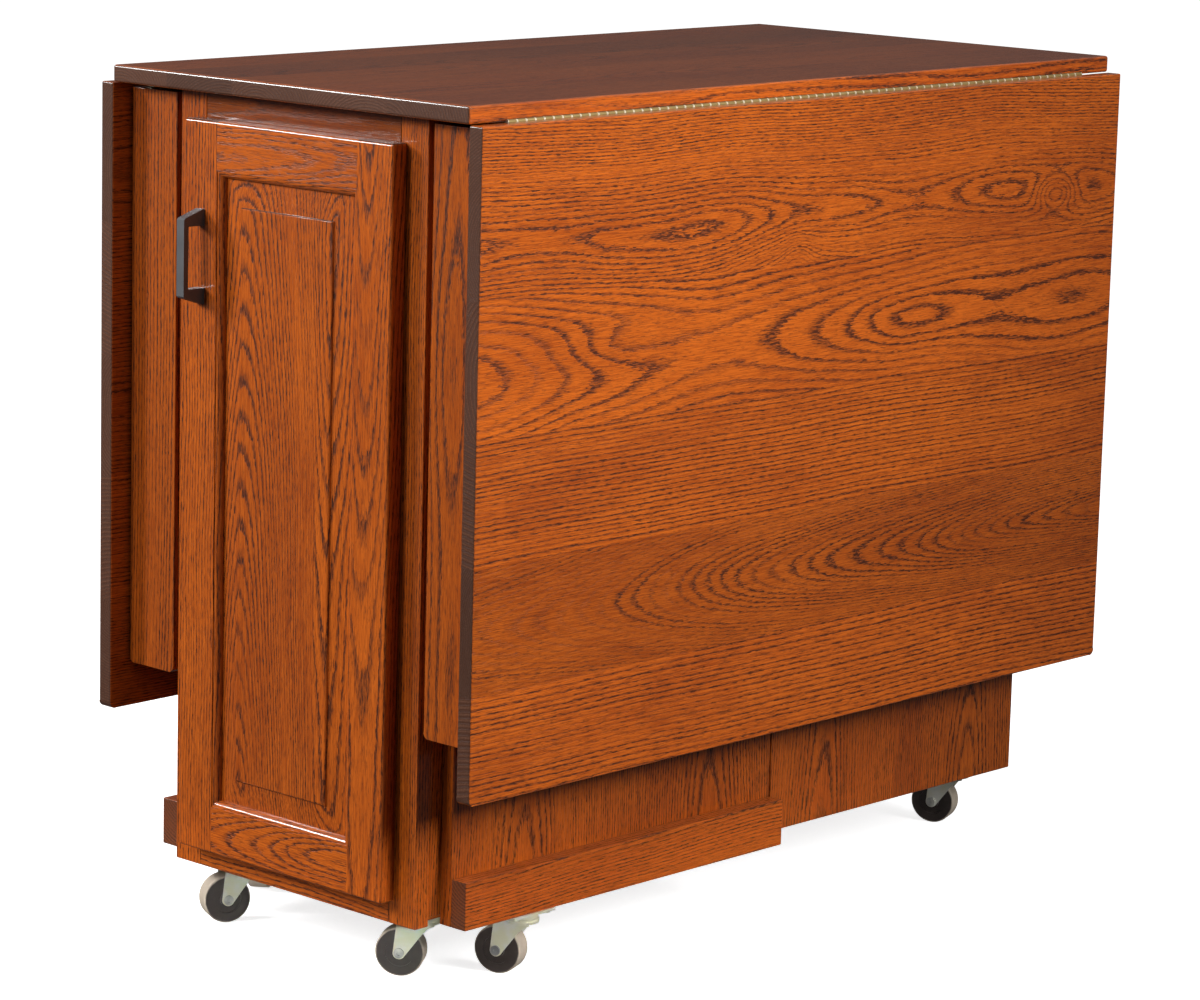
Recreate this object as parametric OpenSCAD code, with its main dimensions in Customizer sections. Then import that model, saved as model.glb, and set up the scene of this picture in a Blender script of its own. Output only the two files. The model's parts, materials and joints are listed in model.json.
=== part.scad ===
/* [Overall] */
// Height from the floor to the worktop
height = 900; // [860:1:960]
// Length of the worktop
top_l = 1016; // [980:1:1100]
// Width of the fixed top between the two leaves
top_w = 515; // [505:1:560]
// Thickness of the top and of the drop leaves
board_t = 18; // [16:0.5:25]

/* [Drop leaves] */
// Width of a drop leaf, measured down from the fixed top
leaf_drop = 664; // [400:1:700]
// Radius of the leaf's two lower corners
leaf_corner_r = 8; // [2:1:40]
// Length of the continuous hinge
hinge_l = 914.4; // [508:25.4:965.2]
// Length of one hinge knuckle and the gap after it
knuckle_pitch = 12.7; // [12.7:12.7:25.4]
// Outer radius of the hinge barrel
barrel_r = 2.3; // [2.2:0.1:3.2]
// Width of one hinge plate from the pin
hinge_plate_w = 19; // [16:1:26]

/* [Cabinet] */
// Length of the cabinet from face frame to end panel
cabinet_l = 966; // [960:1:970]
// Width of the cabinet over its inner sides
cabinet_w = 358; // [350:1:364]
// Height of the face frame's lower edge above the floor
frame_z0 = 68; // [67:0.5:69]
// Height of the carcass floor's lower edge
carcass_z0 = 77.5; // [77:0.5:80]
// Thickness of the cabinet's boards
panel_t = 18; // [15:0.5:19]
// Depth of the face frame members
frame_t = 19; // [17:0.5:22]
// Width of the face frame's stiles
stile_w = 38; // [34:1:44]
// Height of the face frame's lower rail
rail_low_h = 34; // [30:1:38]
// Height of the face frame's upper rail
rail_top_h = 38; // [34:1:44]
// Height of the lower shelf's underside
shelf_low_z = 340; // [250:5:400]
// Height of the upper shelf's underside
shelf_high_z = 600; // [500:5:680]

/* [Gates] */
// Position of the gate hinge along the cabinet
seam_x = 38; // [20:1:60]
// Depth of the bare cabinet side in front of the gate
return_d = 34; // [30:1:40]
// Thickness of a gate and of the fixed panel beside it
gate_t = 16; // [12:0.5:18]
// Thickness of the foot rail on the near gate
near_rail_t = 20; // [16:1:26]
// Thickness of the foot rail on the far gate
far_rail_t = 35; // [16:1:36]
// Distance that the far foot rail runs past its gate's free end
far_rail_overrun = 7; // [0:1:10]
// Height of the foot rail
foot_rail_h = 50; // [40:1:70]
// Height above the floor at which the gate head ends
head_z0 = 266; // [230:1:320]

/* [Door] */
// Width of the door
door_w = 303; // [296:1:306]
// Height of the door
door_h = 762; // [758:1:766]
// Height of the door's lower edge above the floor
door_z0 = 92; // [90:1:94]
// Thickness of the door frame
door_t = 18; // [17:0.5:20]
// Gap between door and face frame
door_gap = 1.8; // [1.7:0.1:2.5]
// Width of the door's stiles and rails
door_frame_w = 57; // [52:1:66]
// Width of the moulded inner edge of the door's stiles and rails
bead_w = 7; // [5:0.5:9]
// Width of the sloping border of the raised panel
bevel_w = 27; // [18:1:34]

/* [Pull] */
// Distance between the pull's two screws
pull_pitch = 76.2; // [64:0.1:96]
// Distance that the pull stands out from the door
pull_reach = 28; // [24:1:36]
// Height of the pull's centre below the door's top edge
pull_drop = 139; // [100:1:300]

/* [Casters] */
// Radius of a caster wheel
wheel_r = 25.4; // [24:0.1:26]
// Width of a caster wheel
wheel_w = 22; // [18:0.5:23]
// Distance from the swivel axis to the wheel axle
trail = 22; // [18:0.5:24]

/* [Hidden] */
$fn = 64;
eps = 0.01;

// Colours
oak_light = [0.74, 0.38, 0.16];
oak_mid = [0.58, 0.31, 0.15];
oak_dark = [0.37, 0.22, 0.16];
brass = [0.72, 0.60, 0.34];
zinc = [0.78, 0.77, 0.70];
gunmetal = [0.29, 0.29, 0.30];
rubber = [0.18, 0.15, 0.13];

// Heights and depths that follow from the driving dimensions
top_z0 = height - board_t;
face_x = -cabinet_l / 2;
back_x = cabinet_l / 2;
side_y = cabinet_w / 2;
edge_y = top_w / 2;
frame_x1 = face_x + frame_t;
gate_x0 = face_x + return_d;
gate_gap = 1;
gate_y0 = side_y + gate_gap;
gate_y1 = gate_y0 + gate_t;
gate_top_clear = 6;
gate_z1 = top_z0 - gate_top_clear;
open_z0 = frame_z0 + rail_low_h;
open_z1 = top_z0 - rail_top_h;
open_y = side_y - stile_w;
door_x0 = face_x - door_gap - door_t;
// The door laps the two face frame stiles by 9 and 12 mm
door_y0 = -open_y - 9;
door_y1 = door_y0 + door_w;
door_z1 = door_z0 + door_h;

// The origin is under the middle of the whole object, pull included
mid_x = -(door_x0 - pull_reach + top_l / 2) / 2;

// Hinge between top and leaf
plate_t = 1;
knuckle_gap = 0.4;
pin_r = 1.2;
pin_clear = 0.1;
barrel_clear = 0.4;
leaf_gap = 0.5;
// Radius of the cutter that runs out at the ends of the hinge's rabbets
cutter_r = 150;

// Concealed door hinges
cup_r = 17.5;
cup_wall = 0.8;
cup_depth = 12.5;
cup_edge = 2;
pivot_edge = 5;
pivot_depth = 9;
pivot_x = face_x - door_gap - pivot_depth;
pivot_y = door_y0 + pivot_edge;
pivot_r = 1;
pivot_clear = 0.08;
arm_h = 7;
hinge_inset = 90;
door_hinge_z = [door_z0 + hinge_inset, door_z1 - hinge_inset];

// Casters: swivel axis along the cabinet, across it, and the way the wheel trails
front_caster_x = -426;
front_caster_y = 134;
gate_caster_x = -349;
gate_caster_y = 198.5;
rear_caster_x = 450;
rear_caster_y = 128;
CASTERS = [
    [front_caster_x, front_caster_y, 155],
    [front_caster_x, -front_caster_y, 125],
    [gate_caster_x, -gate_caster_y, 111],
    [gate_caster_x, gate_caster_y, 35],
    [rear_caster_x, -rear_caster_y, 110],
    [rear_caster_x, rear_caster_y, 100]
];
plate_l = 60;
plate_w = 38;
caster_plate_t = 2.5;
caster_plate_z = frame_z0 - caster_plate_t;
race_r = 17;
race_z = 61;
crown_z = 56;
crown_t = 2.5;
crown_r = 18;
king_r = 5;
king_head_r = 8;
leg_t = 2;
leg_inner = 12.2;
axle_r = 4;
fit_clear = 0.08;
slack = 0.4;
screw_x = 23;
screw_y = 13;
screw_r = 2;
screw_l = 9;

// ---------- helpers ----------

module placed() translate([mid_x, 0, 0]) children();

// A box given by its two opposite corners
module block(a, b) translate(a) cube(b - a);

// Builds the near side as it is and the far side as its mirror image
module on_side(far) {
    if (far) mirror([0, 1, 0]) children();
    else children();
}

module rod_x(x0, x1, r) translate([x0, 0, 0]) rotate([0, 90, 0]) cylinder(r = r, h = x1 - x0);

// Rectangle with its two lower corners rounded
module apron_outline(w, h, r) {
    translate([0, r]) square([w, h - r]);
    translate([r, 0]) square([w - 2 * r, r + eps]);
    for (x = [r, w - r]) translate([x, r]) circle(r = r);
}

// ---------- top, leaves and their hinges ----------

// Rabbet along a board's corner for the hinge barrel, running out in an arc at both ends
module barrel_rabbet() {
    d = barrel_r + barrel_clear;
    half = hinge_l / 2 + 0.5;
    block([-half, -1, -1], [half, d, d]);
    for (x = [-half, half]) translate([x, -1, d - cutter_r]) rotate([-90, 0, 0])
        cylinder(r = cutter_r, h = d + 1, $fn = 180);
}

module at_leaf_axis() translate([0, -edge_y, top_z0]) children();

module top_panel() color(oak_dark) placed() difference() {
    block([-top_l / 2, -edge_y, top_z0], [top_l / 2, edge_y, height]);
    for (far = [false, true]) on_side(far) at_leaf_axis() barrel_rabbet();
}

module leaf(far) color(oak_light) placed() on_side(far) difference() {
    translate([-top_l / 2, -edge_y, top_z0 - leaf_drop])
        rotate([90, 0, 0]) linear_extrude(board_t)
            apron_outline(top_l, leaf_drop - leaf_gap, leaf_corner_r);
    at_leaf_axis() mirror([0, 1, 1]) barrel_rabbet();
}

// One plate of the continuous hinge, drawn lying flat beside the pin.
// It carries every second knuckle, starting with the one numbered first.
module hinge_plate(first) {
    count = round(hinge_l / knuckle_pitch);
    clear = barrel_r + barrel_clear;
    knuckle_l = knuckle_pitch - knuckle_gap;
    difference() {
        union() {
            block([-hinge_l / 2, clear, -plate_t], [hinge_l / 2, hinge_plate_w, 0]);
            for (k = [first : 2 : count - 1]) translate([k * knuckle_pitch - hinge_l / 2, 0, 0]) {
                rod_x(0, knuckle_l, barrel_r);
                block([0, 0, -plate_t], [knuckle_l, clear + eps, 0]);
            }
        }
        rod_x(-hinge_l / 2 - 1, hinge_l / 2 + 1, pin_r + pin_clear);
    }
}

module hinge_top_plate(far) color(brass) placed() on_side(far) at_leaf_axis() hinge_plate(0);

// The leaf's plate hangs down along the leaf's inner face
module hinge_leaf_plate(far) color(brass) placed() on_side(far) at_leaf_axis()
    mirror([0, 1, 1]) hinge_plate(1);

module leaf_hinge_pins() color(brass) placed()
    for (far = [false, true]) on_side(far) at_leaf_axis()
        rod_x(-hinge_l / 2 + 0.5, hinge_l / 2 - 0.5, pin_r);

// ---------- cabinet ----------

module frame_stile(far) color(oak_mid) placed() on_side(far)
    block([face_x, -side_y, frame_z0], [frame_x1, -open_y, top_z0]);

module frame_rail(z0, z1) color(oak_mid) placed()
    block([face_x, -open_y, z0], [frame_x1, open_y, z1]);

module side(far) color(oak_mid) placed() on_side(far)
    block([frame_x1, -side_y, carcass_z0], [back_x - frame_t, -side_y + panel_t, top_z0]);

module cabinet_floor() color(oak_mid) placed()
    block([frame_x1, -side_y + panel_t, carcass_z0],
          [back_x - frame_t, side_y - panel_t, carcass_z0 + panel_t]);

module divider() color(oak_mid) placed()
    block([seam_x, -side_y + panel_t, carcass_z0 + panel_t],
          [seam_x + panel_t, side_y - panel_t, top_z0]);

module end_panel() color(oak_mid) placed()
    block([back_x - frame_t, -side_y, carcass_z0], [back_x, side_y, top_z0]);

shelf_play = 1.5;
module shelves() color(oak_mid) placed()
    for (z = [shelf_low_z, shelf_high_z])
        block([frame_x1 + shelf_play, -side_y + panel_t + shelf_play, z],
              [seam_x - shelf_play, side_y - panel_t - shelf_play, z + panel_t]);

pin_peg_r = 2.5;
pin_peg_l = 8;
module shelf_pins() color(zinc) placed()
    for (z = [shelf_low_z, shelf_high_z], x = [frame_x1 + 50, seam_x - 50], far = [false, true])
        on_side(far) translate([x, -side_y + panel_t, z - pin_peg_r]) rotate([-90, 0, 0])
            cylinder(r = pin_peg_r, h = pin_peg_l);

cleat = 19;
module top_cleats() color(oak_mid) placed()
    for (far = [false, true]) on_side(far)
        block([frame_x1 + 40, -side_y + panel_t, top_z0 - cleat],
              [seam_x - 40, -side_y + panel_t + cleat, top_z0]);

// ---------- gates that swing out under the raised leaves ----------

module fixed_panel(far) color(oak_mid) placed() on_side(far)
    block([seam_x + gate_gap, -gate_y1, carcass_z0], [back_x - frame_t, -side_y, top_z0]);

module gate(far) color(oak_mid) placed() on_side(far) difference() {
    block([gate_x0, -gate_y1, frame_z0], [seam_x - gate_gap, -gate_y0, gate_z1]);
    caster_screw_holes();
}

module gate_rail(far) color(oak_mid) placed() on_side(far) difference() {
    block([gate_x0 - (far ? far_rail_overrun : 0), -gate_y1 - (far ? far_rail_t : near_rail_t), frame_z0],
          [seam_x - gate_gap, -gate_y1, frame_z0 + foot_rail_h]);
    caster_screw_holes();
}

// Post on the gate's free end that fills the space behind the hanging leaf
head_inner_y = 186;
head_outer_clear = 2;
module gate_head(far) color(oak_mid) placed() on_side(far)
    translate([face_x, -edge_y + head_outer_clear, head_z0])
        rotate([90, 0, 90]) linear_extrude(return_d)
            apron_outline(edge_y - head_outer_clear - head_inner_y, gate_z1 - head_z0, leaf_corner_r);

butt_h = 64;
butt_w = 22;
butt_r = 3.2;
butt_t = 1.6;
butt_z = [300, 540, 780];
module gate_hinges() color(brass) placed()
    for (far = [false, true], z = butt_z) on_side(far)
        translate([seam_x, -gate_y1, z]) {
            translate([0, -butt_r, 0]) cylinder(r = butt_r, h = butt_h);
            block([-butt_w, -butt_t, 0], [butt_w, 0, butt_h]);
        }

// ---------- door ----------

// Cross-section of a door stile or rail: across its width, then through its thickness
groove_d = 9;
groove_z0 = 4.5;
groove_z1 = 10.5;
bead_step = 1;
module door_member_profile() {
    u0 = door_frame_w - bead_w + bead_step;
    w = bead_w - bead_step;
    z0 = groove_z1 - bead_step;
    h = door_t - groove_z1;
    bead_arc = [for (a = [0 : 9 : 90]) [u0 + w * cos(a), z0 + h * sin(a)]];
    polygon(concat(
        [[0, 0], [door_frame_w, 0], [door_frame_w, groove_z0],
         [door_frame_w - groove_d, groove_z0], [door_frame_w - groove_d, z0]],
        bead_arc,
        [[u0 - bead_step, z0 + h], [u0 - bead_step, door_t], [0, door_t]]));
}

// A member of the given length, lying along X with its outer edge on Y = 0 and its face up
module door_member(length) rotate([90, 0, 90]) linear_extrude(length) door_member_profile();

// Stands a drawing made face up, X along the door's height and Y across it, in the door's place
module at_door() translate([face_x - door_gap, door_y0, door_z0]) rotate([0, -90, 0]) children();

// Outline of a stile as seen from the front: its moulded edge is mitred into the rails
module stile_outline() {
    flat = door_frame_w - bead_w;
    polygon([[0, 0], [door_h, 0], [door_h, flat], [door_h - flat, flat],
             [door_h - door_frame_w, door_frame_w], [door_frame_w, door_frame_w],
             [flat, flat], [0, flat]]);
}

module rail_outline() {
    flat = door_frame_w - bead_w;
    polygon([[0, flat], [flat, flat], [door_frame_w, door_frame_w],
             [door_frame_w, door_w - door_frame_w], [flat, door_w - flat], [0, door_w - flat]]);
}

module door_stile_shape() intersection() {
    door_member(door_h);
    linear_extrude(door_t) stile_outline();
}

module door_rail_shape() intersection() {
    mirror([1, -1, 0]) door_member(door_w);
    linear_extrude(door_t) rail_outline();
}

module cup_hole() for (z = door_hinge_z)
    translate([z - door_z0, cup_edge + cup_r, -eps]) cylinder(r = cup_r + 0.15, h = cup_depth + eps);

module door_stile_hinge_side() color(oak_mid) placed() at_door() difference() {
    door_stile_shape();
    cup_hole();
}

module door_stile_pull_side() color(oak_mid) placed() difference() {
    at_door() translate([0, door_w, 0]) mirror([0, 1, 0]) door_stile_shape();
    at_pull() pull_screw_paths(pull_screw_r + 0.2);
}

module door_rail_top() color(oak_mid) placed() at_door()
    translate([door_h, 0, 0]) mirror([1, 0, 0]) door_rail_shape();

module door_rail_bottom() color(oak_mid) placed() at_door() door_rail_shape();

// Cross-section of the raised panel over a given width
tongue_clear = 0.25;
tongue_l = 8;
field_step = 2.8;
panel_back = 3;
panel_face = 17;
module panel_profile(w) {
    e = tongue_l;
    b = tongue_l + bevel_w;
    z0 = groove_z0 + tongue_clear;
    z1 = groove_z1 - bead_step - tongue_clear;
    // The flat field ends in a quarter round above the sloping border
    round = [for (a = [0 : 15 : 90]) field_step * [1 - cos(a), sin(a)]];
    foot = panel_face - field_step;
    polygon(concat(
        [[0, z0], [e + 2, z0], [e + 2, panel_back], [w - e - 2, panel_back], [w - e - 2, z0], [w, z0],
         [w, z1], [w - e, z1]],
        [for (p = round) [w - b - p[0], foot + p[1]]],
        [for (i = [len(round) - 1 : -1 : 0]) [b + round[i][0], foot + round[i][1]]],
        [[e, z1], [0, z1]]));
}

module door_panel() color(oak_mid) placed() at_door() {
    inset = door_frame_w - tongue_l;
    h = door_h - 2 * inset;
    w = door_w - 2 * inset;
    translate([inset, inset, 0]) intersection() {
        rotate([90, 0, 90]) linear_extrude(h) panel_profile(w);
        mirror([1, -1, 0]) rotate([90, 0, 90]) linear_extrude(w) panel_profile(h);
    }
}

// Bridge pull: drawn in side view, X away from the door and Y up
pull_w = 11;
pull_bar_t = 6;
pull_foot = 97;
pull_bar_l = 82;
pull_open = 64;
pull_y = 27;
module at_pull() translate([door_x0, door_y1 - pull_y, door_z1 - pull_drop]) children();
module pull_side() {
    foot = pull_foot / 2;
    bar = pull_bar_l / 2;
    inner = pull_open / 2;
    polygon([[0, -foot], [3, -foot], [pull_reach - 2, -bar], [pull_reach, -bar + 2],
             [pull_reach, bar - 2], [pull_reach - 2, bar], [3, foot], [0, foot], [0, inner],
             [pull_reach - pull_bar_t, inner], [pull_reach - pull_bar_t, -inner], [0, -inner]]);
}

module door_pull() color(gunmetal) placed() at_pull() difference() {
    rotate([0, 0, 180]) translate([0, pull_w / 2, 0]) rotate([90, 0, 0])
        linear_extrude(pull_w) pull_side();
    pull_screw_paths(pull_screw_r + 0.1);
}

pull_screw_r = 2;
pull_screw_bite = 10;
pull_head_r = 4.5;
pull_head_t = 1.4;
module pull_screw_paths(r) for (s = [-1, 1])
    translate([-pull_screw_bite, 0, s * pull_pitch / 2]) rotate([0, 90, 0])
        cylinder(r = r, h = pull_screw_bite + door_t + eps);

module door_pull_screws() color(zinc) placed() at_pull() {
    translate([0.5, 0, 0]) for (s = [-1, 1]) translate([-pull_screw_bite, 0, s * pull_pitch / 2])
        rotate([0, 90, 0]) cylinder(r = pull_screw_r, h = pull_screw_bite + door_t - 0.5);
    for (s = [-1, 1]) translate([door_t, 0, s * pull_pitch / 2])
        rotate([0, 90, 0]) cylinder(r = pull_head_r, h = pull_head_t);
}

bumper_r = 4;
bumper_t = 1.5;
module door_bumpers() color([0.85, 0.85, 0.83]) placed()
    for (z = [door_z0 + 6, door_z1 - 6]) translate([face_x - door_gap, door_y1 - 7, z])
        rotate([0, 90, 0]) cylinder(r = bumper_r, h = bumper_t);

// Steel cup let into the door's back, with the pivot pin across it
module door_hinge_cups() color(zinc) placed() for (z = door_hinge_z) {
    cup_y = door_y0 + cup_edge + cup_r;
    back = face_x - door_gap;
    difference() {
        translate([back - cup_depth, cup_y, z]) rotate([0, 90, 0]) cylinder(r = cup_r, h = cup_depth);
        translate([back - cup_depth + cup_wall, cup_y, z]) rotate([0, 90, 0])
            cylinder(r = cup_r - cup_wall, h = cup_depth);
    }
    pin_half = sqrt(pow(cup_r - cup_wall / 2, 2) - pow(cup_y - pivot_y, 2));
    translate([pivot_x, pivot_y, z - pin_half]) cylinder(r = pivot_r, h = 2 * pin_half);
}

// Cranked arm from the face frame's stile, round the door's edge, to the pivot pin
arm_t = 1.4;
arm_eye_r = 1.6;
arm_out = 12.5;
arm_plate_t = 2;
arm_plate_h = 40;
arm_foot_x = face_x + 13;
module door_hinge_arms() color(zinc) placed() for (z = door_hinge_z) translate([0, 0, z]) {
    difference() {
        translate([0, 0, -arm_h / 2]) union() {
            translate([pivot_x, pivot_y, 0]) cylinder(r = arm_eye_r, h = arm_h);
            block([pivot_x - arm_eye_r + 0.2, pivot_y, 0],
                  [pivot_x - arm_eye_r + 0.2 + arm_t, pivot_y + arm_out, arm_h]);
            block([pivot_x - arm_eye_r + 0.2, pivot_y + arm_out - arm_t, 0],
                  [arm_foot_x, pivot_y + arm_out, arm_h]);
            block([arm_foot_x - arm_t, -open_y, 0], [arm_foot_x, pivot_y + arm_out, arm_h]);
        }
        translate([pivot_x, pivot_y, -arm_h]) cylinder(r = pivot_r + pivot_clear, h = 2 * arm_h);
    }
    block([face_x + 3, -open_y, -arm_plate_h / 2], [frame_x1 - 1, -open_y + arm_plate_t, arm_plate_h / 2]);
}

// ---------- casters ----------

module at_caster(c) translate([c[0], c[1], 0]) rotate([0, 0, c[2]]) children();

module caster_screw_spots(c) for (sx = [-1, 1], sy = [-1, 1])
    translate([c[0] + sx * screw_x, c[1] + sy * screw_y, 0]) children();

module caster_screw_holes() for (c = CASTERS) caster_screw_spots(c)
    translate([0, 0, caster_plate_z - 1])
        cylinder(r = screw_r + 0.1, h = caster_plate_t + 1 + screw_l, $fn = 24);

// Wooden pads bring the carcass casters level with those under the gates
pad_l = 74;
pad_w = 60;
module caster_pads() color(oak_mid) placed() difference() {
    for (c = [CASTERS[0], CASTERS[1], CASTERS[4], CASTERS[5]])
        translate([min(c[0] - pad_l / 2, back_x - 2 - pad_l), c[1] - pad_w / 2, frame_z0])
            cube([pad_l, pad_w, carcass_z0 - frame_z0]);
    caster_screw_holes();
}

module caster_plates() color(zinc) placed() for (c = CASTERS) difference() {
    translate([c[0], c[1], 0]) {
        translate([-plate_l / 2, -plate_w / 2, caster_plate_z]) cube([plate_l, plate_w, caster_plate_t]);
        translate([0, 0, race_z + slack]) cylinder(r = race_r, h = caster_plate_z - race_z - slack + eps);
        translate([0, 0, crown_z - slack]) cylinder(r = king_r, h = caster_plate_z - crown_z + slack);
        translate([0, 0, crown_z - slack - 2.4]) cylinder(r = king_head_r, h = 2.4 + eps);
    }
    caster_screw_holes();
}

module caster_screws() color(zinc) placed() for (c = CASTERS) caster_screw_spots(c) {
    translate([0, 0, caster_plate_z - 2]) cylinder(r = 3.6, h = 2, $fn = 24);
    translate([0, 0, caster_plate_z - eps])
        cylinder(r = screw_r, h = caster_plate_t + screw_l - 1, $fn = 24);
}

// One side of the fork, seen from the side: crown above, axle boss below.
// Its leading edge comes down from the crown in a hollow curve.
boss_r = 6.5;
neck_r = 14;
module fork_leg_outline() difference() {
    union() {
        polygon([[-crown_r + 4, crown_z + eps], [-crown_r + 4, crown_z - 1], [-2, 47],
                 [trail - boss_r + 0.7, wheel_r - 3], [trail + boss_r, wheel_r], [trail + 3, crown_z + eps]]);
        translate([trail, wheel_r]) circle(r = boss_r);
    }
    translate([-crown_r + 2, crown_z - 1 - neck_r]) circle(r = neck_r);
    translate([trail, wheel_r]) circle(r = axle_r + 0.05);
}

module caster_fork(c) color(zinc) placed() at_caster(c) {
    for (s = [-1, 1]) translate([0, s < 0 ? -leg_inner : leg_inner + leg_t, 0])
        rotate([90, 0, 0]) linear_extrude(leg_t) fork_leg_outline();
    difference() {
        union() {
            translate([-crown_r + 4, -leg_inner - leg_t, crown_z])
                cube([crown_r - 4 + trail + 3, 2 * (leg_inner + leg_t), crown_t]);
            translate([0, 0, crown_z]) cylinder(r = crown_r, h = crown_t);
            translate([0, 0, crown_z]) cylinder(r = race_r, h = race_z - crown_z);
        }
        translate([0, 0, crown_z - 1]) cylinder(r = king_r + fit_clear, h = 10);
    }
}

// Riveted axle with a dimple in each head
rivet_r = 5.2;
rivet_t = 1.8;
module caster_axle(c) color(zinc) placed() at_caster(c) translate([trail, 0, wheel_r])
    rotate([90, 0, 0]) {
        reach = leg_inner + leg_t + rivet_t;
        difference() {
            union() {
                cylinder(r = axle_r, h = 2 * reach, center = true);
                for (s = [-1, 1]) translate([0, 0, s * (reach - rivet_t / 2)])
                    cylinder(r = rivet_r, h = rivet_t, center = true);
            }
            for (s = [-1, 1]) translate([0, 0, s * reach]) cylinder(r = 2.2, h = 3, center = true);
        }
    }

// Half of the wheel's section: radius across, width up
module wheel_section() {
    bore = axle_r + fit_clear;
    hub_r = 8;
    hub_w = leg_inner - slack;
    web_r = 15;
    web_w = wheel_w / 2 - 2;
    rim_w = wheel_w / 2;
    round_r = 2;
    translate([bore, -hub_w]) square([hub_r - bore, 2 * hub_w]);
    translate([hub_r - eps, -web_w]) square([web_r - hub_r + 2 * eps, 2 * web_w]);
    translate([web_r, -rim_w]) square([wheel_r - web_r - round_r, 2 * rim_w]);
    translate([web_r, -rim_w + round_r]) square([wheel_r - web_r, 2 * (rim_w - round_r)]);
    for (s = [-1, 1]) translate([wheel_r - round_r, s * (rim_w - round_r)]) circle(r = round_r);
}

module caster_wheel(c) color(rubber) placed() at_caster(c) translate([trail, 0, wheel_r])
    rotate([90, 0, 0]) rotate_extrude() wheel_section();

// ---------- nodes ----------

top_panel();
leaf(false);  // near_leaf
leaf(true);  // far_leaf
hinge_top_plate(false);  // near_hinge_top_plate
hinge_leaf_plate(false);  // near_hinge_leaf_plate
hinge_top_plate(true);  // far_hinge_top_plate
hinge_leaf_plate(true);  // far_hinge_leaf_plate
leaf_hinge_pins();
frame_stile(false);  // frame_stile_near
frame_stile(true);  // frame_stile_far
frame_rail(open_z1, top_z0);  // frame_rail_top
frame_rail(frame_z0, open_z0);  // frame_rail_bottom
side(false);  // side_near
side(true);  // side_far
cabinet_floor();
divider();
end_panel();
shelves();
shelf_pins();
top_cleats();
caster_pads();
fixed_panel(false);  // fixed_panel_near
fixed_panel(true);  // fixed_panel_far
gate(false);  // gate_near
gate(true);  // gate_far
gate_rail(false);  // gate_rail_near
gate_rail(true);  // gate_rail_far
gate_head(false);  // gate_head_near
gate_head(true);  // gate_head_far
gate_hinges();
door_stile_hinge_side();
door_stile_pull_side();
door_rail_top();
door_rail_bottom();
door_panel();
door_pull();
door_pull_screws();
door_bumpers();
door_hinge_cups();
door_hinge_arms();
caster_plates();
caster_screws();
caster_fork(CASTERS[0]);  // caster_1_fork
caster_axle(CASTERS[0]);  // caster_1_axle
caster_wheel(CASTERS[0]);  // caster_1_wheel
caster_fork(CASTERS[1]);  // caster_2_fork
caster_axle(CASTERS[1]);  // caster_2_axle
caster_wheel(CASTERS[1]);  // caster_2_wheel
caster_fork(CASTERS[2]);  // caster_3_fork
caster_axle(CASTERS[2]);  // caster_3_axle
caster_wheel(CASTERS[2]);  // caster_3_wheel
caster_fork(CASTERS[3]);  // caster_4_fork
caster_axle(CASTERS[3]);  // caster_4_axle
caster_wheel(CASTERS[3]);  // caster_4_wheel
caster_fork(CASTERS[4]);  // caster_5_fork
caster_axle(CASTERS[4]);  // caster_5_axle
caster_wheel(CASTERS[4]);  // caster_5_wheel
caster_fork(CASTERS[5]);  // caster_6_fork
caster_axle(CASTERS[5]);  // caster_6_axle
caster_wheel(CASTERS[5]);  // caster_6_wheel
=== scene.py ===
import json
import math

import bmesh
import bpy
from mathutils import Matrix, Vector


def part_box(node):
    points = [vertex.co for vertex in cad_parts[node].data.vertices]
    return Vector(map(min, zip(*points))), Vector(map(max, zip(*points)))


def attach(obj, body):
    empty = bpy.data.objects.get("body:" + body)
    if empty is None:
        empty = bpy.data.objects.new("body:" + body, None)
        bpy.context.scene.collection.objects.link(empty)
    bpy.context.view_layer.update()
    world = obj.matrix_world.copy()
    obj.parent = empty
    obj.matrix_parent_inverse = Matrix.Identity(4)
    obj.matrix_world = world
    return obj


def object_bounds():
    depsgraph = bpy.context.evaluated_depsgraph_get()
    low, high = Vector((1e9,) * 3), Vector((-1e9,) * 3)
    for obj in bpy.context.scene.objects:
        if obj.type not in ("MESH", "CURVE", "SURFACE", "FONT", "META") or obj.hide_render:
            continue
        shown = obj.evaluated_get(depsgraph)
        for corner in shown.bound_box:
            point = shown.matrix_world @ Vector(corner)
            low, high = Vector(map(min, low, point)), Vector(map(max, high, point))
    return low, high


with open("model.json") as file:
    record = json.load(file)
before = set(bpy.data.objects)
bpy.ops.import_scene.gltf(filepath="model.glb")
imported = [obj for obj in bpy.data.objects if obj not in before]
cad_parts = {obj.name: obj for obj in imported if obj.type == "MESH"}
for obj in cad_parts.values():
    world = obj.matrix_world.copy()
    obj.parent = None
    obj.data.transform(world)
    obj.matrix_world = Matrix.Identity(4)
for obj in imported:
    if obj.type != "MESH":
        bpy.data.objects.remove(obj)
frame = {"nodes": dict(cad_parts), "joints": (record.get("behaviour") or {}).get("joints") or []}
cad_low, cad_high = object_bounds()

NODES = frame["nodes"]


def joint(name):
    """A joint's row in the frame."""
    return next(row for row in frame["joints"] if row["name"] == name)


def size_of(node, axis):
    """A node's size along the axis X, Y or Z."""
    low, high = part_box(node)
    number = "XYZ".index(axis)
    return high[number] - low[number]


# ---------- material graphs ----------

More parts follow.
